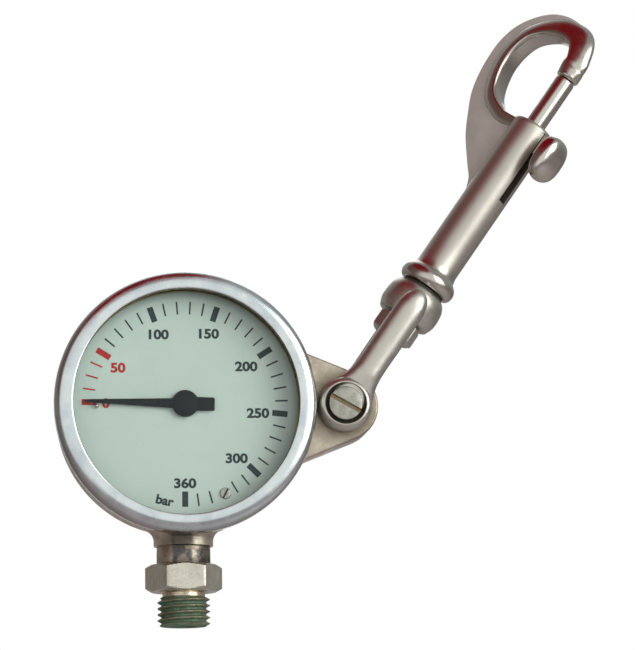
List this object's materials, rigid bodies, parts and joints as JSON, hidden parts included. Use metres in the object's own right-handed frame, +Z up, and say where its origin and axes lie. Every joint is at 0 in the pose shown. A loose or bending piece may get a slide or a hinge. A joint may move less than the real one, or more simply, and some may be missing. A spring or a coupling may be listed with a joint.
{
  "type": "submersible pressure gauge",
  "caption": "Round diver's pressure gauge with a threaded hose stem and a side lug that carries a hinged fork and a swivelling bolt snap with a spring plunger.",
  "frame": {"origin": "on the stem's axis where the full hose thread starts, just above its lead-in chamfer", "axes": "+Z up the stem towards the dial, +X towards the lug and the arm, and the dial faces -Y"},
  "size_m": [0.1179, 0.0293, 0.1354],
  "materials": {
    "nickel_case": "bead-blasted nickel plate",
    "nickel_stem": "satin nickel plate with tarnish",
    "bezel_steel": "polished",
    "lens_glass": "clear",
    "seal_rubber": "matte",
    "dial_paint": "matte print",
    "bright_screw": "satin",
    "pointer_black": "satin",
    "brass_movement": "machined",
    "bronze_tube": "drawn",
    "spring_steel": "bright",
    "stainless_satin": "polished satin",
    "stainless_bright": "polished",
    "washer_plastic": "matte"
  },
  "bodies": {
    "gauge": {"case_body": "nickel_case", "bezel_ring": "bezel_steel", "lens": "lens_glass", "lens_seal": "seal_rubber", "dial_support": "brass_movement", "dial_plate": "dial_paint", "dial_screw": "bright_screw", "stop_pin": "bright_screw", "pressure_tube": "bronze_tube", "tube_tip": "brass_movement", "socket_block": "brass_movement", "back_plate": "brass_movement", "front_plate": "brass_movement", "pillar_left": "brass_movement", "pillar_right": "brass_movement", "pillar_low": "brass_movement", "plate_screw_left": "spring_steel", "plate_screw_right": "spring_steel", "block_screw_left": "spring_steel", "block_screw_right": "spring_steel", "connection_stem": "nickel_stem", "throttle_screw": "brass_movement", "stem_seal": "seal_rubber", "relief_plug": "seal_rubber", "relief_seal": "seal_rubber"},
    "pointer": {"pointer": "pointer_black", "pinion_arbor": "brass_movement", "hairspring": "spring_steel"},
    "sector": {"sector_gear": "brass_movement", "sector_shaft": "spring_steel", "tail_pin": "spring_steel"},
    "link": {"link": "brass_movement", "link_screw": "spring_steel"},
    "arm": {"fork": "stainless_satin", "pivot_screw": "bright_screw", "swivel_washer": "washer_plastic"},
    "snap": {"snap_body": "stainless_satin", "swivel_bolt": "stainless_satin", "plunger_spring": "spring_steel"},
    "plunger": {"plunger": "stainless_bright", "thumb_knob": "stainless_bright"}
  },
  "joints": [
    {"name": "pointer_turn", "type": "hinge", "parent": "gauge", "child": "pointer", "pos_m": [0, 0, 0.0458], "axis": [0, 1, 0], "range_deg": [0, 270], "stiffness_Nm_per_rad": 0.0001, "springref_deg": -28.65, "deforming": ["hairspring"]},
    {"name": "sector_swing", "type": "hinge", "parent": "gauge", "child": "sector", "pos_m": [0, 0, 0.03494], "axis": [0, 1, 0], "range_deg": [-34, 0]},
    {"name": "link_swing", "type": "hinge", "parent": "sector", "child": "link", "pos_m": [-0.00499, 0, 0.03468], "axis": [0, 1, 0], "range_deg": [0, 53]},
    {"name": "arm_pivot", "type": "hinge", "parent": "gauge", "child": "arm", "pos_m": [0.0339, 0, 0.0458], "axis": [0, -1, 0], "range_deg": [-150, 44]},
    {"name": "snap_swivel", "type": "hinge", "parent": "arm", "child": "snap", "pos_m": [0.05159, 0, 0.07126], "axis": [0.5707, 0, 0.8211], "continuous": true},
    {"name": "plunger_slide", "type": "slide", "parent": "snap", "child": "plunger", "axis": [-0.5707, 0, -0.8211], "range_m": [0, 0.0124], "stiffness_N_per_m": 300, "springref_m": -0.012, "deforming": ["plunger_spring"]}
  ],
  "couplings": [
    {"joint": "sector_swing", "follows": "pointer_turn", "ratio": -0.125},
    {"joint": "link_swing", "follows": "pointer_turn", "ratio": 0.1944}
  ]
}
